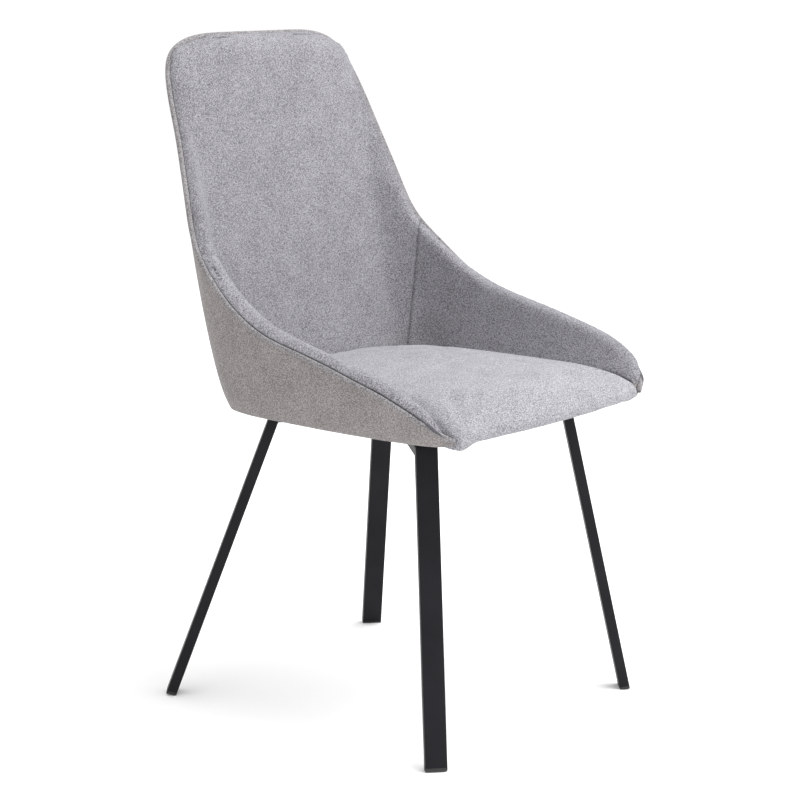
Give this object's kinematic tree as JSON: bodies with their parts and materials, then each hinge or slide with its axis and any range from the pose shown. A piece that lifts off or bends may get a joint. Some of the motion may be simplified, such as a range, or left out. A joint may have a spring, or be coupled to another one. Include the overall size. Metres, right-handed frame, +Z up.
{
  "type": "dining chair",
  "caption": "Upholstered dining chair with a winged bucket seat, rim welt and loose-look seat cushion on a crossed frame of splayed flat rectangular tube legs.",
  "frame": {"origin": "on the floor, under the middle of the chair's box", "axes": "+Z up, -Y the way the sitter faces, +X the sitter's left"},
  "size_m": [0.5036, 0.5288, 0.8903],
  "materials": {
    "seat_fabric": "light grey melange twill, matt",
    "inner_fabric": "mid grey melange twill, matt",
    "outer_fabric": "mid grey melange twill, matt",
    "foam": "open-cell cushion foam",
    "plywood": "unfinished birch plywood",
    "dust_cloth": "thin black nonwoven cloth",
    "coated_steel": "satin black powder coat",
    "zinc_steel": "bright zinc plate",
    "black_plastic": "moulded black polymer"
  },
  "bodies": {
    "root": {"through_bar": "coated_steel", "front_half_bar": "coated_steel", "rear_half_bar": "coated_steel", "front_left_leg": "coated_steel", "front_left_foot_plug": "black_plastic", "front_right_leg": "coated_steel", "front_right_foot_plug": "black_plastic", "rear_left_leg": "coated_steel", "rear_left_foot_plug": "black_plastic", "rear_right_leg": "coated_steel", "rear_right_foot_plug": "black_plastic", "front_left_bolt": "zinc_steel", "front_left_washer": "zinc_steel", "front_left_spacer": "black_plastic", "front_left_t_nut": "zinc_steel", "front_right_bolt": "zinc_steel", "front_right_washer": "zinc_steel", "front_right_spacer": "black_plastic", "front_right_t_nut": "zinc_steel", "rear_left_bolt": "zinc_steel", "rear_left_washer": "zinc_steel", "rear_left_spacer": "black_plastic", "rear_left_t_nut": "zinc_steel", "rear_right_bolt": "zinc_steel", "rear_right_washer": "zinc_steel", "rear_right_spacer": "black_plastic", "rear_right_t_nut": "zinc_steel", "outer_cover": "outer_fabric", "moulded_shell": "plywood", "rim_welt": "outer_fabric", "back_cover": "inner_fabric", "back_foam": "foam", "left_wing_cover": "inner_fabric", "left_wing_foam": "foam", "right_wing_cover": "inner_fabric", "right_wing_foam": "foam", "seat_cover": "seat_fabric", "seat_foam": "foam", "seat_board": "plywood", "dust_cover": "dust_cloth"}
  },
  "joints": []
}
